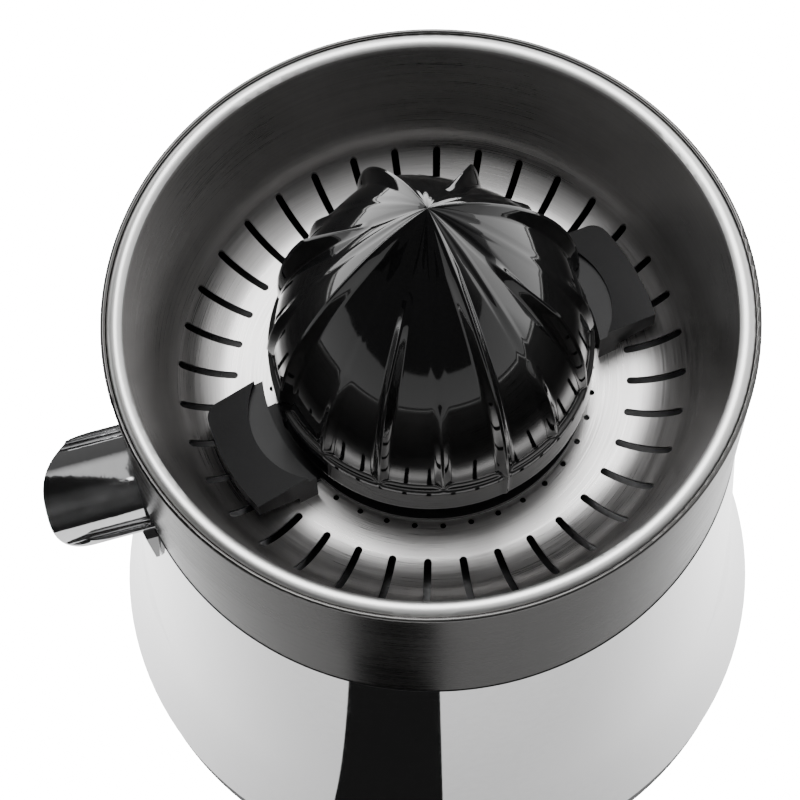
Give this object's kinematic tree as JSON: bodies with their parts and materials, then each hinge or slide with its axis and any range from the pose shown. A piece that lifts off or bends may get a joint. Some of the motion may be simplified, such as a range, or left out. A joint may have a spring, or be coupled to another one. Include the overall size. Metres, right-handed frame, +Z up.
{
  "type": "citrus press juicer",
  "caption": "Electric citrus press with a finned black juicing cone, slotted steel filter dish, brushed bowl band, open pouring spout and polished flared steel body.",
  "frame": {"origin": "on the main axis, on the plane the foot ring stands on", "axes": "+Z up along the cone's axis, -Y towards the tip of the pouring spout, +X to the right when the spout faces the user"},
  "size_m": [0.237, 0.2427, 0.2894],
  "materials": {
    "polished_steel": "mirror-polished stainless steel",
    "brushed_steel": "fine brushed stainless steel",
    "cone_plastic": "high-gloss black plastic",
    "satin_plastic": "satin black plastic",
    "base_plastic": "fine-textured black plastic",
    "deck_plastic": "dark grey moulded plastic",
    "rubber": "black rubber",
    "shaft_steel": "ground steel",
    "zinc_steel": "zinc-plated steel",
    "spring_steel": "spring steel",
    "bronze": "sintered bronze",
    "gear_nylon": "natural nylon",
    "gearbox_plastic": "grey glass-filled nylon",
    "can_steel": "drawn steel",
    "lamination": "stacked silicon steel",
    "copper": "enamelled copper",
    "ferrite": "ferrite",
    "carbon": "carbon",
    "phenolic": "brown phenolic board",
    "switch_plastic": "black thermoset plastic",
    "switch_red": "red plastic",
    "fan_plastic": "black nylon"
  },
  "bodies": {
    "housing": {"housing_shell": "polished_steel", "base_plate": "base_plastic", "foot_ring": "rubber", "cord_gland": "rubber", "base_screws": "zinc_steel", "top_deck": "deck_plastic", "deck_screws": "zinc_steel", "tie_posts": "zinc_steel", "spindle_bush": "bronze", "shaft_seal": "rubber", "idler_axle": "shaft_steel", "lower_gear_bush": "bronze", "upper_gear_bush": "bronze", "gearbox_tray": "gearbox_plastic", "gearbox_lid": "gearbox_plastic", "gearbox_screws": "zinc_steel", "motor_can": "can_steel", "motor_plate": "can_steel", "motor_screws": "zinc_steel", "motor_bushes": "bronze", "field_magnets": "ferrite", "motor_brushes": "carbon", "brush_card": "phenolic", "switch_case": "switch_plastic", "lever_pin": "shaft_steel", "switch_screws": "zinc_steel"},
    "output_wheel": {"output_gear": "gear_nylon", "spring_washer": "zinc_steel"},
    "spindle": {"drive_spindle": "shaft_steel", "spindle_collar": "shaft_steel", "spring_clip": "spring_steel", "return_spring": "spring_steel"},
    "cone": {"juicing_cone": "cone_plastic", "cone_insert": "shaft_steel"},
    "idler": {"idler_gear": "gear_nylon"},
    "rotor": {"armature": "lamination", "armature_windings": "copper", "motor_shaft": "shaft_steel", "commutator": "copper", "cooling_fan": "fan_plastic"},
    "bowl": {"bowl_band": "brushed_steel", "juice_bowl": "polished_steel", "spout": "polished_steel", "spout_foot": "polished_steel"},
    "filter": {"filter_basket": "brushed_steel", "filter_handle_ring": "satin_plastic"},
    "lever": {"switch_lever": "spring_steel"},
    "plunger": {"switch_plunger": "switch_red"}
  },
  "joints": [
    {"name": "output_turn", "type": "hinge", "parent": "housing", "child": "output_wheel", "pos_m": [0, 0, 0.12], "axis": [0, 0, 1], "continuous": true},
    {"name": "spindle_press", "type": "slide", "parent": "output_wheel", "child": "spindle", "axis": [0, 0, -1], "range_m": [0, 0.0025], "stiffness_N_per_m": 4000, "springref_m": -0.001, "deforming": ["return_spring"]},
    {"name": "cone_lift", "type": "slide", "parent": "spindle", "child": "cone", "axis": [0, 0, 1], "range_m": [0, 0.18]},
    {"name": "idler_turn", "type": "hinge", "parent": "housing", "child": "idler", "pos_m": [-0.03118, 0.018, 0.12], "axis": [0, 0, 1], "continuous": true},
    {"name": "rotor_turn", "type": "hinge", "parent": "housing", "child": "rotor", "pos_m": [-0.03118, 0.0468, 0.07], "axis": [0, 0, 1], "continuous": true},
    {"name": "bowl_lift", "type": "slide", "parent": "housing", "child": "bowl", "axis": [0, 0, 1], "range_m": [0, 0.06]},
    {"name": "filter_lift", "type": "slide", "parent": "bowl", "child": "filter", "axis": [0, 0, 1], "range_m": [0, 0.06]},
    {"name": "lever_tilt", "type": "hinge", "parent": "housing", "child": "lever", "pos_m": [0.02, 0, 0.097], "axis": [0, -1, 0], "range_deg": [0, 7.3]},
    {"name": "plunger_press", "type": "slide", "parent": "housing", "child": "plunger", "axis": [0, 0, -1], "range_m": [0, 0.0016]}
  ],
  "couplings": [
    {"joint": "idler_turn", "follows": "output_turn", "ratio": -5},
    {"joint": "rotor_turn", "follows": "output_turn", "ratio": 25},
    {"joint": "filter_lift", "follows": "bowl_lift", "ratio": 1},
    {"joint": "cone_lift", "follows": "bowl_lift", "ratio": 3},
    {"joint": "lever_tilt", "follows": "spindle_press", "rad_per_m": 50},
    {"joint": "plunger_press", "follows": "spindle_press", "ratio": 0.6}
  ]
}
